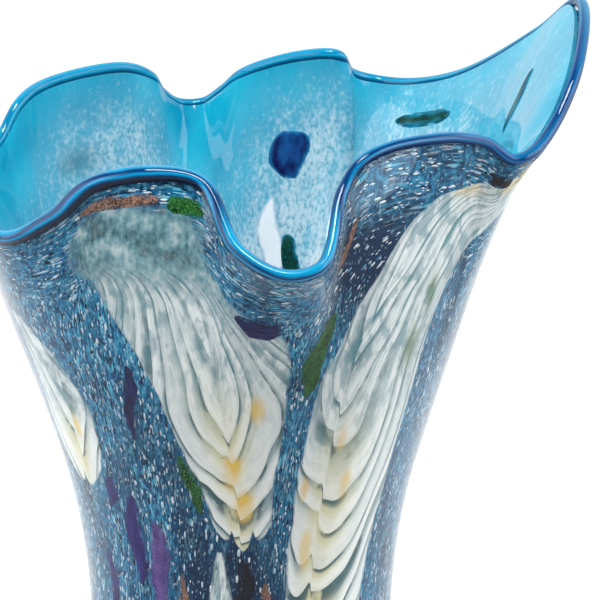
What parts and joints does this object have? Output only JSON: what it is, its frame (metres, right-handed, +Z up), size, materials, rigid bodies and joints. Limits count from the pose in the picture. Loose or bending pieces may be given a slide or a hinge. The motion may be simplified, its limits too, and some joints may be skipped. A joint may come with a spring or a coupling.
{
  "type": "art glass vase",
  "caption": "Tall blown glass vase with a waisted body, a ruffled flaring lip pulled up into one tall ear, and feather shards and chips set in a speckled wall.",
  "frame": {"origin": "centre of the flat ground foot, on the vase's axis", "axes": "+Z up along the vase's axis, +X towards the tall ear of the lip, -Y towards the front of the picture"},
  "size_m": [0.2474, 0.2304, 0.3832],
  "materials": {
    "clear_glass": "polished clear glass",
    "speckled_glass": "steel blue glass full of white and navy frit specks",
    "aqua_glass": "glossy turquoise glass clouded with white frit",
    "azure_glass": "glossy translucent azure glass",
    "feather_glass": "combed white and grey shard glass",
    "cobalt_glass": "glossy cobalt glass",
    "violet_glass": "glossy violet glass",
    "mauve_glass": "soft mauve glass",
    "black_glass": "glossy black glass",
    "green_aventurine": "green glass with fine glitter",
    "copper_aventurine": "copper glass with fine glitter",
    "amber_glass": "glossy amber glass",
    "white_glass": "opal white glass",
    "teal_glass": "deep teal glass"
  },
  "bodies": {
    "root": {"amber_streak_ear": "amber_glass", "aqua_lining": "aqua_glass", "black_chip_front": "black_glass", "black_chip_notch": "black_glass", "clear_casing": "clear_glass", "cobalt_chip_back": "cobalt_glass", "cobalt_chip_front": "cobalt_glass", "cobalt_chip_left": "cobalt_glass", "cobalt_dot_inside": "cobalt_glass", "copper_streak_fold": "copper_aventurine", "copper_streak_left": "copper_aventurine", "copper_streak_lip": "copper_aventurine", "copper_streak_low": "copper_aventurine", "feather_back": "feather_glass", "feather_back_left": "feather_glass", "feather_back_right": "feather_glass", "feather_front_left": "feather_glass", "feather_front_right": "feather_glass", "feather_left_side": "feather_glass", "feather_low_back": "feather_glass", "feather_low_front": "feather_glass", "feather_low_left": "feather_glass", "feather_low_right": "feather_glass", "green_chip_back": "green_aventurine", "green_chip_front": "green_aventurine", "green_chip_left": "green_aventurine", "green_chip_lip": "green_aventurine", "green_chip_low": "green_aventurine", "green_fleck_inside": "green_aventurine", "green_streak_inside": "green_aventurine", "lip_wrap": "azure_glass", "mauve_chip_left": "mauve_glass", "speckle_layer": "speckled_glass", "teal_streak_inside": "teal_glass", "violet_chip_back": "violet_glass", "violet_chip_left": "violet_glass", "violet_chip_low": "violet_glass", "violet_chip_mid": "violet_glass", "white_patch_inside": "white_glass"}
  },
  "joints": []
}
